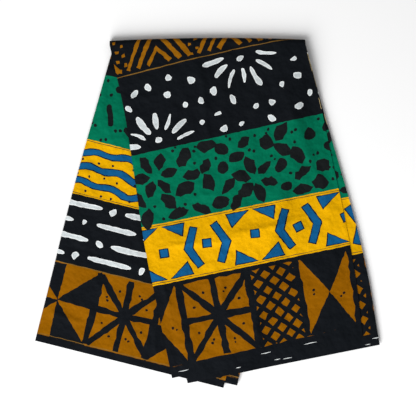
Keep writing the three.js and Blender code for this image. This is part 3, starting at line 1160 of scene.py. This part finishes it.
def shell(gather, lay, marks, low, end_past, heights, step, corner=(0.0, 0.0), room=(1.0, 1.0)):
    """Adds a closed sheet of cloth, cut along the lines of its print, from one place along it to another.

    Each of its two faces has one half of the map's room. It returns the sheet's flat area, in square
    millimetres, and its greatest length."""
    outline = outline_of(low, lambda a: lay.at_fold(a, end_past), RIM_STEP)
    flat = np.array(outline)
    from_b = flat[:, 1].min()
    to_b = flat[:, 1].max()
    loose = loose_points(lay, end_past, from_b, to_b, step)
    cut, triangles, laid = cut_sheet(outline, marks, loose, runs_down=not lay.is_front)
    a, b = cut.T
    count = len(cut)
    u = corner[0] + room[0] * (MAP_EDGE + (0.5 - 2 * MAP_EDGE) * a / STRIP_WIDTH)
    v = corner[1] + room[1] * (MAP_EDGE + (1 - 2 * MAP_EDGE) * (b - from_b) / (to_b - from_b))
    on_map = np.stack([u, v], 1)
    below_map = on_map + np.array([0.5 * room[0], 0.0])
    (start, end), rim = rim_of(triangles, count)
    way = on_map[end] - on_map[start]
    out = np.stack([way[:, 1], -way[:, 0]], 1)
    out = out / np.maximum(np.linalg.norm(out, axis=1, keepdims=True), 1e-9) * WALL_ON_MAP
    faces = np.concatenate(
        [
            triangles,
            triangles[:, ::-1] + count,
            np.stack([start, start + count, end + count], 1),
            np.stack([start, end + count, end], 1),
        ]
    )
    maps = np.concatenate(
        [
            on_map[triangles],
            below_map[triangles[:, ::-1]],
            np.stack([on_map[start], on_map[start] + out, on_map[end] + out], 1),
            np.stack([on_map[start], on_map[end] + out, on_map[end]], 1),
        ]
    )
    rim_inks = np.tile(laid, 3)[rim]
    if not lay.is_front:
        faces = faces[:, ::-1]
        maps = maps[:, ::-1]
    points = np.concatenate([lay.place(a, b, heights[1]), lay.place(a, b, heights[0])])
    inks = np.concatenate([laid, laid, rim_inks, rim_inks])
    gather.add(points, faces, inks, np.concatenate([cut, cut]), maps)
    after = np.roll(flat, -1, axis=0)
    area = abs(np.sum(flat[:, 0] * after[:, 1] - after[:, 0] * flat[:, 1])) / 2
    return area, to_b - from_b


def ink_table(settings):
    """The inks as linear colours, in the order of their names."""
    return np.array([tuple(getattr(settings, name)) for name in INK_NAMES], np.float32)


# The hidden layers' body has columns across the strip, and steps outwards, two to a layer. Its rows run from
# the back flap's selvage to the fold, round the fold, and on to the front flap's selvage.
BODY_COLUMNS = 56
BODY_ROWS = 32
BODY_TURN = 16
BODY_STEPS = 2 * HIDDEN_LAYERS
TURN_ROW = BODY_ROWS + 1
FRONT_ROW = TURN_ROW + BODY_TURN
LAST_ROW = FRONT_ROW + BODY_ROWS
BODY_FOOT = UNDERSIDE_TOP + 0.05

# How deep the grooves between the layers are, at the sides and at the selvages, and how far the middle of a
# fold stands out that joins a pair of layers at a side.
SIDE_RIDGE = 0.9
SELVAGE_RIDGE = 0.5
PAIR_FOLD = 0.25

# The least and the most of each part of an edge's wander: how far out, the swing, its start and its waves.
WANDER = ((-2.2, 0.9), (0.3, 0.9), (0, 6), (1, 3))

# The share of the selvage that is pale, and the seeds of the body's edges.
PALE_ENDS = 0.03
BODY_SEED = 41
EDGE_SEEDS = {"left": 100, "right": 150}

# How long a run of one ink is on an edge, the ink that marks it on each ground, and how often.
EDGE_RUN = (5, 22)
EDGE_MARKS = {
    "black": ("pale", 0.18),
    "brown": ("black", 0.5),
    "yellow": ("blue", 0.4),
    "green": ("leaf", 0.4),
}

# The body's room on the map, from left to right, and the rims that stay free.
BODY_MAP = {
    "inner": (0.0, 0.30),
    "outer": (0.30, 0.60),
    "left": (0.60, 0.76),
    "right": (0.76, 0.92),
    "back_end": (0.92, 0.96),
    "front_end": (0.96, 1.0),
}
MAP_RIM_U = 0.005
MAP_RIM_V = 0.01


def edge_runs(seed):
    """The inks along one layer's edge, as places along the strip where each begins."""
    chance = random.Random(seed)
    begins = []
    inks = []
    for low, high, _, ground in BANDS:
        mark, share = EDGE_MARKS[ground]
        b = float(low)
        while b < high:
            begins.append(b)
            inks.append(INK_NAMES.index(mark if chance.random() < share else ground))
            b += chance.uniform(*EDGE_RUN)
    return np.array(begins), np.array(inks)


def wandering_edges(chance):
    """How each layer's edges wander, at each side."""
    table = {}
    for side in ("left", "right", "selvage"):
        table[side] = [[chance.uniform(*ends) for ends in WANDER] for _ in range(HIDDEN_LAYERS)]
    return table


def layer_out(table, layer, side, along):
    """How far a layer's edge stands out, wandering along its length."""
    base, swing, phase, waves = table[side][layer]
    return base + swing * math.sin(phase + waves * along * math.tau)


def body_on_flap(flap, reach, along, is_end, share):
    """The x and y of the body's points on a flap, drawn out to the selvage in its end row."""
    along = np.where(is_end, 1 + curve_through(reach["selvage"], share) / FLAP_LENGTH, along)
    across = mix(edge_share(reach, "left", along), edge_share(reach, "right", along), share)
    x, y = flat_place(flap, across, along)
    return x, y + fold_bow(across, along)


def body_form():
    """The body's x, y and z without its ridges, by column, row and step."""
    counts = (np.arange(BODY_COLUMNS + 1), np.arange(LAST_ROW + 1), np.arange(BODY_STEPS + 1))
    columns, rows, steps = np.meshgrid(*counts, indexing="ij")
    share = columns / BODY_COLUMNS
    outwards = steps / BODY_STEPS
    back_along = clamp(1 - rows / BODY_ROWS)
    front_along = clamp((rows - FRONT_ROW) / BODY_ROWS)
    back_x, back_y = body_on_flap(BACK_FLAP, BACK_HIDDEN, back_along, rows == 0, share)
    front_x, front_y = body_on_flap(FRONT_FLAP, FRONT_HIDDEN, front_along, rows == LAST_ROW, share)
    back_y = np.where(rows == BODY_ROWS, back_y - FOLD_FOOT, back_y)
    turn = (FRONT_ROW - rows) / BODY_TURN
    inside = mix(FOLD_INSIDE, FOLD_HEIGHT - HIDDEN_TOP, turn)
    radius = mix(inside, FOLD_INSIDE + HIDDEN_TOP, outwards)
    turn_y = mix(front_y, back_y, turn) + radius * np.sin(math.pi * turn)
    turn_z = FOLD_HEIGHT + radius * np.cos(math.pi * turn)
    front_z = under_front_flap(front_x, front_y) + mix(BODY_FOOT, HIDDEN_TOP, outwards)
    front_z = front_z + smooth((rows - FRONT_ROW) / 3) * swell(front_x, front_y, front_z)
    back_height = mix(HIDDEN_TOP, BODY_FOOT, outwards)
    back_z = back_height + smooth((TURN_ROW - rows) / 3) * swell(back_x, back_y, back_height)
    is_back = rows < TURN_ROW
    is_turn = (rows >= TURN_ROW) & (rows <= FRONT_ROW)
    x = np.where(is_back, back_x, np.where(is_turn, mix(front_x, back_x, turn), front_x))
    y = np.where(is_back, back_y, np.where(is_turn, turn_y, front_y))
    z = np.where(is_back, back_z, np.where(is_turn, turn_z, front_z))
    return x, y, z


def ridge_edges(table, x, y):
    """Moves the body's edges in and out, so that they show its layers as ridges."""
    for step in range(BODY_STEPS + 1):
        layer = min(HIDDEN_LAYERS - 1, step // 2)
        below = max(0, (step - 1) // 2)
        first_of_pair = layer // 2 * 2
        for row in range(LAST_ROW + 1):
            along = row / LAST_ROW
            for side, column, sign in (("left", 0, -1), ("right", BODY_COLUMNS, 1)):
                if step % 2:
                    out = layer_out(table, first_of_pair, side, along)
                elif layer % 2 == 1 and step < BODY_STEPS:
                    out = layer_out(table, first_of_pair, side, along) + PAIR_FOLD
                else:
                    out = min(layer_out(table, layer, side, along), layer_out(table, below, side, along))
                    out -= SIDE_RIDGE
                x[column, row, step] += sign * out
        for row in (0, LAST_ROW):
            for column in range(BODY_COLUMNS + 1):
                across = column / BODY_COLUMNS
                out = layer_out(table, layer, "selvage", across)
                if step % 2 == 0:
                    out = min(out, layer_out(table, below, "selvage", across)) - SELVAGE_RIDGE
                y[column, row, step] -= out


def body_faces(number, row_b, corner, room, chance):
    """The triangles round the body, with the ink and the place on the map of each."""
    black = INK_NAMES.index("black")
    pale = INK_NAMES.index("pale")
    grids = {
        "inner": (number[:, :, 0], False),
        "outer": (number[:, :, -1], True),
        "left": (number[0], False),
        "right": (number[-1], True),
        "back_end": (number[:, 0, :], True),
        "front_end": (number[:, -1, :], False),
    }
    runs = {}
    for side, seed in EDGE_SEEDS.items():
        runs[side] = [edge_runs(seed + layer) for layer in range(HIDDEN_LAYERS)]
    faces = []
    inks = []
    maps = []
    for side, (grid, turned_over) in grids.items():
        from_u, to_u = BODY_MAP[side]
        wide = grid.shape[0] - 1
        high = grid.shape[1] - 1
        for i in range(wide):
            for j in range(high):
                spots = [(i, j), (i + 1, j), (i + 1, j + 1), (i, j + 1)]
                if turned_over:
                    spots.reverse()
                ink = black
                if side in runs:
                    begins, along_inks = runs[side][min(HIDDEN_LAYERS - 1, j // 2)]
                    ink = along_inks[max(0, np.searchsorted(begins, (row_b[i] + row_b[i + 1]) / 2) - 1)]
                elif side.endswith("end") and chance.random() < PALE_ENDS:
                    ink = pale
                at = []
                for p, q in spots:
                    across, up = (q / high, p / wide) if side in runs else (p / wide, q / high)
                    u = corner[0] + room[0] * mix(from_u + MAP_RIM_U, to_u - MAP_RIM_U, across)
                    at.append((u, corner[1] + room[1] * mix(MAP_RIM_V, 1 - MAP_RIM_V, up)))
                for corners in ((0, 1, 2), (0, 2, 3)):
                    faces.append([grid[spots[c]] for c in corners])
                    maps.append([at[c] for c in corners])
                    inks.append(ink)
    return np.array(faces), np.array(inks), np.array(maps)


def hidden_body(gather, corner, room):
    """Adds the hidden layers: a body that turns round the fold, with its layers' edges as ridges."""
    chance = random.Random(BODY_SEED)
    x, y, z = body_form()
    ridge_edges(wandering_edges(chance), x, y)
    rows = np.arange(LAST_ROW + 1)
    row_b = np.where(
        rows < TURN_ROW,
        mix(CLOTH_WIDTH / 2, CLOTH_WIDTH, clamp(1 - rows / BODY_ROWS)),
        mix(CLOTH_WIDTH / 2, 0, clamp((rows - FRONT_ROW) / BODY_ROWS)),
    )
    column_a = np.arange(BODY_COLUMNS + 1) / BODY_COLUMNS * STRIP_WIDTH
    threads = np.stack(np.broadcast_arrays(column_a[:, None, None], row_b[None, :, None], z), -1)[..., :2]
    faces, inks, maps = body_faces(np.arange(x.size).reshape(x.shape), row_b, corner, room, chance)
    gather.add(np.stack([x, y, z], -1).reshape(-1, 3), faces, inks, threads.reshape(-1, 2), maps)


class Value:
    """A socket of a material that takes part in sums."""

    def __init__(self, finish, socket):
        self.finish = finish
        self.socket = socket

    def __add__(self, other):
        return self.finish.math("ADD", self, other)

    def __sub__(self, other):
        return self.finish.math("SUBTRACT", self, other)

    def __rsub__(self, other):
        return self.finish.math("SUBTRACT", other, self)

    def __mul__(self, other):
        return self.finish.math("MULTIPLY", self, other)

    __radd__ = __add__
    __rmul__ = __mul__

    def sine(self):
        return self.finish.math("SINE", self)


class Finish:
    """A material and its nodes."""

    def __init__(self, name):
        self.material = bpy.data.materials.new(name)
        self.material.use_nodes = True
        self.tree = self.material.node_tree
        self.tree.nodes.clear()

    def node(self, kind, settings=None, sockets=None):
        """Adds a node of a type, with its settings, and then the values or links of its sockets."""
        node = self.tree.nodes.new(kind)
        for name, value in (settings or {}).items():
            setattr(node, name, value)
        for key, value in (sockets or {}).items():
            if isinstance(value, Value):
                self.tree.links.new(value.socket, node.inputs[key])
            else:
                node.inputs[key].default_value = value
        return node

    def value(self, node, output=0):
        return Value(self, node.outputs[output])

    def math(self, operation, *values):
        return self.value(self.node("ShaderNodeMath", {"operation": operation}, dict(enumerate(values))))

    def noise(self, place, scale, detail=2.0):
        sockets = {"Vector": place, "Scale": scale, "Detail": detail}
        return self.value(self.node("ShaderNodeTexNoise", {}, sockets), "Fac")

    def close(self, sockets):
        """Adds the shader and the output."""
        shader = self.node("ShaderNodeBsdfPrincipled", {}, sockets)
        self.node("ShaderNodeOutputMaterial", {}, {"Surface": self.value(shader)})
        return self.material


COTTON = "wax_printed_cotton"
EDGES_ROUGHNESS = 0.72
EDGES_TONE = 1.4

# How many times in a metre the cloth's broad tones, its fine tones and its wrinkles come again.
BROAD_SCALE = 14.0
FINE_SCALE = 420.0
WRINKLE_SCALE = 26.0

# The relief: the fine grain beside the weave, the height of both in millimetres, and the strength of it all.
FINE_RELIEF = 1.5
WEAVE_RELIEF = 0.1
RELIEF_STRENGTH = 0.5

# How much of the tone's swing the fine tones have, and how much the weave and the fine tones change.
FINE_TONE = 0.8
WEAVE_TONE = 0.02
FINE_ROUGHNESS = 0.2

# The colour sockets of the node that mixes.
MIX_FACTOR = 0
MIX_A = 6
MIX_B = 7
MIX_RESULT = 2


def cotton(name, settings, roughness, tone_swing):
    """Printed cotton: its inks, a plain weave, faint wrinkles and a slightly uneven tone."""
    finish = Finish(name)
    ink = finish.value(finish.node("ShaderNodeAttribute", {"attribute_name": "print"}), "Color")
    threads = finish.value(finish.node("ShaderNodeAttribute", {"attribute_name": "threads"}), "Vector")
    place = finish.value(finish.node("ShaderNodeTexCoord"), "Object")
    split = finish.node("ShaderNodeSeparateXYZ", {}, {"Vector": threads})
    turns = math.tau / settings.thread_pitch
    warp = (finish.value(split, "X") * turns).sine()
    weft = (finish.value(split, "Y") * turns).sine()
    weave = warp * weft
    broad = finish.noise(place, BROAD_SCALE, 3.0)
    fine = finish.noise(place, FINE_SCALE, 2.0)
    wrinkles = finish.noise(place, WRINKLE_SCALE, 3.0)
    fine_swing = (fine - 0.5) * (tone_swing * FINE_TONE)
    tone = 1 + (broad - 0.5) * tone_swing + fine_swing + weave * WEAVE_TONE
    blend = {"data_type": "RGBA", "blend_type": "MULTIPLY"}
    mixed = finish.node("ShaderNodeMix", blend, {MIX_FACTOR: 1.0, MIX_A: ink, MIX_B: tone})
    height = (weave + fine * FINE_RELIEF) * WEAVE_RELIEF + wrinkles * settings.wrinkles
    relief = {"Strength": RELIEF_STRENGTH, "Distance": MM, "Height": height}
    bump = finish.node("ShaderNodeBump", {}, relief)
    sockets = {
        "Base Color": finish.value(mixed, MIX_RESULT),
        "Roughness": roughness + (fine - 0.5) * FINE_ROUGHNESS,
        "Normal": finish.value(bump),
        "Specular IOR Level": settings.gloss,
        "Sheen Weight": settings.sheen,
        "Sheen Roughness": 0.4,
    }
    return finish.close(sockets)


def floor_finish(colour):
    """A pale matt table."""
    finish = Finish("pale_table")
    place = finish.value(finish.node("ShaderNodeTexCoord"), "Object")
    grain = finish.noise(place, 30.0)
    roughness = 0.85 + grain * 0.1
    return finish.close({"Base Color": (*colour, 1.0), "Roughness": roughness, "Specular IOR Level": 0.1})


def linear(code):
    """A colour code as linear red, green and blue."""
    parts = [((code >> shift) & 255) / 255 for shift in (16, 8, 0)]
    return tuple(c / 12.92 if c <= 0.04045 else ((c + 0.055) / 1.055) ** 2.4 for c in parts)


class ClothSettings(bpy.types.PropertyGroup):
    sheet_thickness: bpy.props.FloatProperty(
        name="Sheet thickness",
        description="Thickness of each sheet that shows",
        default=0.0006,
        unit="LENGTH",
    )
    cell: bpy.props.FloatProperty(
        name="Cell",
        description="Spacing of the points that let a cover bend",
        default=0.0032,
        unit="LENGTH",
    )
    thread_pitch: bpy.props.FloatProperty(
        name="Thread pitch",
        description="Distance from one thread of the weave to the next but one",
        default=0.0007,
        unit="LENGTH",
    )
    roughness: bpy.props.FloatProperty(
        name="Roughness", description="Roughness of the starched cotton", default=0.6, subtype="FACTOR"
    )
    gloss: bpy.props.FloatProperty(
        name="Gloss", description="Strength of its mirror-like shine", default=0.02, subtype="FACTOR"
    )
    sheen: bpy.props.FloatProperty(
        name="Sheen", description="Strength of its bloom at grazing angles", default=0.03, subtype="FACTOR"
    )
    tone_swing: bpy.props.FloatProperty(
        name="Tone swing", description="How uneven the inks' tone is", default=0.32, subtype="FACTOR"
    )
    wrinkles: bpy.props.FloatProperty(
        name="Wrinkles", description="Strength of the faint wrinkles all over", default=20.0
    )


def ink_property(label, description, code):
    return bpy.props.FloatVectorProperty(
        name=label, description=description, default=linear(code), subtype="COLOR", min=0.0, max=1.0
    )


class InkSettings(bpy.types.PropertyGroup):
    __annotations__ = {name: ink_property(*row) for name, row in INKS.items()}


class StageSettings(bpy.types.PropertyGroup):
    camera_height: bpy.props.FloatProperty(
        name="Camera height", description="Height of the camera over the table", default=6.0, unit="LENGTH"
    )
    view_width: bpy.props.FloatProperty(
        name="View width", description="Width of what the camera sees", default=0.7363, unit="LENGTH"
    )
    view_centre: bpy.props.FloatVectorProperty(
        name="View centre",
        description="The place on the table in the middle of the picture",
        default=(0.0009, 0.0083),
        size=2,
        unit="LENGTH",
    )
    floor_colour: bpy.props.FloatVectorProperty(
        name="Table colour", description="Colour of the table", default=(1.0, 1.0, 1.0), subtype="COLOR"
    )
    sky: bpy.props.FloatProperty(name="Sky", description="Strength of the light from all round", default=0.36)
    lamp: bpy.props.FloatProperty(
        name="Lamp", description="Power of the soft lamp at the lower left", default=134.0, unit="POWER"
    )
    lamp_place: bpy.props.FloatVectorProperty(
        name="Lamp place",
        description="Where the soft lamp is",
        default=(-1.2, -2.0, 1.75),
        size=3,
        unit="LENGTH",
    )
    lamp_size: bpy.props.FloatProperty(
        name="Lamp size", description="Width of the soft lamp", default=2.6, unit="LENGTH"
    )


def dress(piece, node, area):
    """Hangs a sheet from the root and hides the solid that it stands for."""
    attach(piece, "root")
    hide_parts(node)


def build_sheet(context, name, lay, middle, coarseness):
    """Builds one of the sheets that show, from its flap's selvage to where it ends at or over the fold."""
    cloth = context.scene.wax_cloth
    half = cloth.sheet_thickness / MM / 2
    step = cloth.cell / MM * coarseness
    low = 0.0 if lay.is_front else CLOTH_WIDTH
    end_past = TURN_ENDS * (FOLD_INSIDE + middle) if lay.is_front else -BACK_SHEETS_START
    gather = ClothMesh()
    heights = (middle - half, middle + half)
    area, length = shell(gather, lay, printed(*PRINTS[name]), low, end_past, heights, step)
    material = bpy.data.materials.get(COTTON)
    if material is None:
        material = cotton(COTTON, cloth, cloth.roughness, cloth.tone_swing)
    piece = gather.finish(name, ink_table(context.scene.wax_inks), material)
    flat = (STRIP_WIDTH * MM, length * MM)
    area = min(area * MM * MM, flat[0] * flat[1])
    dress(piece, name + "_sheet", area)


class WAXPRINT_OT_front_sheets(bpy.types.Operator):
    """Builds the front flap's two top sheets, which run on over the fold"""

    bl_idname = "waxprint.front_sheets"
    bl_label = "Front sheets"

    def execute(self, context):
        lines = LINES["front_cover"]
        cover = Lay(FRONT_FLAP, COVER, lines, True, FRONT_CREASES, COVER_TROUGH, FRONT_SECOND["left"])
        build_sheet(context, "front_cover", cover, COVER_MIDDLE, 1.0)
        second = Lay(FRONT_FLAP, FRONT_SECOND, LINES["front_second"], True, FRONT_CREASES, SECOND_TROUGH)
        build_sheet(context, "front_second", second, SECOND_MIDDLE, COARSER)
        return {"FINISHED"}


class WAXPRINT_OT_back_sheets(bpy.types.Operator):
    """Builds the back flap's two top sheets"""

    bl_idname = "waxprint.back_sheets"
    bl_label = "Back sheets"

    def execute(self, context):
        cover = Lay(BACK_FLAP, COVER, LINES["back"], False, BACK_CREASES, COVER_TROUGH)
        build_sheet(context, "back_cover", cover, COVER_MIDDLE, 1.0)
        second = Lay(BACK_FLAP, BACK_SECOND, LINES["back"], False, BACK_CREASES, SECOND_TROUGH)
        build_sheet(context, "back_second", second, SECOND_MIDDLE, COARSER)
        return {"FINISHED"}


class WAXPRINT_OT_hidden_layers(bpy.types.Operator):
    """Builds the layers between the sheets that show, and the printed underside that rests on the table"""

    bl_idname = "waxprint.hidden_layers"
    bl_label = "Hidden layers"

    def execute(self, context):
        cloth = context.scene.wax_cloth
        step = cloth.cell / MM * COARSER
        heights = (0.0, UNDERSIDE_TOP)
        gather = ClothMesh()
        under_back = Lay(BACK_FLAP, BACK_HIDDEN, LINES["back"], False, UNDERSIDE_CREASES, 0.0)
        marks = printed(*PRINTS["under_back"])
        shell(gather, under_back, marks, CLOTH_WIDTH, UNDER_BACK_END, heights, step, (0.0, 0.0), (0.4, 1.0))
        under_front = Lay(FRONT_FLAP, FRONT_HIDDEN, LINES["front_second"], True, UNDERSIDE_CREASES, 0.0)
        marks = printed(*PRINTS["under_front"])
        shell(gather, under_front, marks, 0.0, -BACK_SHEETS_START, heights, step, (0.4, 0.0), (0.4, 1.0))
        hidden_body(gather, (0.8, 0.0), (0.2, 1.0))
        material = cotton("stacked_edges", cloth, EDGES_ROUGHNESS, cloth.tone_swing * EDGES_TONE)
        piece = gather.finish("folded_layers", ink_table(context.scene.wax_inks), material)
        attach(piece, "root")
        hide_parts("hidden_layers")
        return {"FINISHED"}


# The table's width, how far it lies under the cloth, and the height at which the camera sees its full width.
TABLE_SIZE = 8.0
TABLE_CLEAR = 0.0002
SEEN_HEIGHT = 0.013


class WAXPRINT_OT_stage(bpy.types.Operator):
    """Sets the pale table, the soft light and the camera straight above"""

    bl_idname = "waxprint.stage"
    bl_label = "Stage"

    def execute(self, context):
        stage = context.scene.wax_stage
        bpy.ops.mesh.primitive_plane_add(size=TABLE_SIZE, location=(0.0, 0.0, -TABLE_CLEAR))
        table = context.object
        table.name = "table"
        table.data.materials.append(floor_finish(tuple(stage.floor_colour)))
        world = bpy.data.worlds.new("daylight")
        world.use_nodes = True
        background = world.node_tree.nodes["Background"]
        background.inputs["Color"].default_value = (1.0, 1.0, 1.0, 1.0)
        background.inputs["Strength"].default_value = stage.sky
        context.scene.world = world
        bpy.ops.object.light_add(type="AREA", location=stage.lamp_place)
        lamp = context.object
        lamp.name = "soft_lamp"
        lamp.data.energy = stage.lamp
        lamp.data.size = stage.lamp_size
        lamp.rotation_euler = (-lamp.location).to_track_quat("-Z", "Y").to_euler()
        above = (*stage.view_centre, stage.camera_height)
        bpy.ops.object.camera_add(location=above, rotation=(0.0, 0.0, 0.0))
        camera = context.object
        camera.name = "camera"
        reach = stage.camera_height - SEEN_HEIGHT
        camera.data.angle = 2 * math.atan(stage.view_width / 2 / reach)
        camera.data.clip_end = 50.0
        context.scene.camera = camera
        context.scene.view_settings.view_transform = "Standard"
        return {"FINISHED"}


class WAXPRINT_PT_panel(bpy.types.Panel):
    """Lists the pieces and their settings"""

    bl_idname = "WAXPRINT_PT_panel"
    bl_label = "Folded wax print cloth"
    bl_space_type = "VIEW_3D"
    bl_region_type = "UI"
    bl_category = "Wax Print"

    def draw(self, context):
        layout = self.layout
        for operator in OPERATORS:
            layout.operator(operator.bl_idname)
        for settings in (context.scene.wax_cloth, context.scene.wax_inks, context.scene.wax_stage):
            column = layout.column(align=True)
            for name in type(settings).__annotations__:
                column.prop(settings, name)


OPERATORS = (
    WAXPRINT_OT_hidden_layers,
    WAXPRINT_OT_back_sheets,
    WAXPRINT_OT_front_sheets,
    WAXPRINT_OT_stage,
)
CLASSES = (ClothSettings, InkSettings, StageSettings, *OPERATORS, WAXPRINT_PT_panel)


def register():
    for item in CLASSES:
        bpy.utils.register_class(item)
    bpy.types.Scene.wax_cloth = bpy.props.PointerProperty(type=ClothSettings)
    bpy.types.Scene.wax_inks = bpy.props.PointerProperty(type=InkSettings)
    bpy.types.Scene.wax_stage = bpy.props.PointerProperty(type=StageSettings)


def unregister():
    del bpy.types.Scene.wax_stage
    del bpy.types.Scene.wax_inks
    del bpy.types.Scene.wax_cloth
    for item in reversed(CLASSES):
        bpy.utils.unregister_class(item)


def main():
    register()
    bpy.ops.waxprint.hidden_layers()
    bpy.ops.waxprint.back_sheets()
    bpy.ops.waxprint.front_sheets()
    bpy.ops.waxprint.stage()


if __name__ == "__main__":
    main()
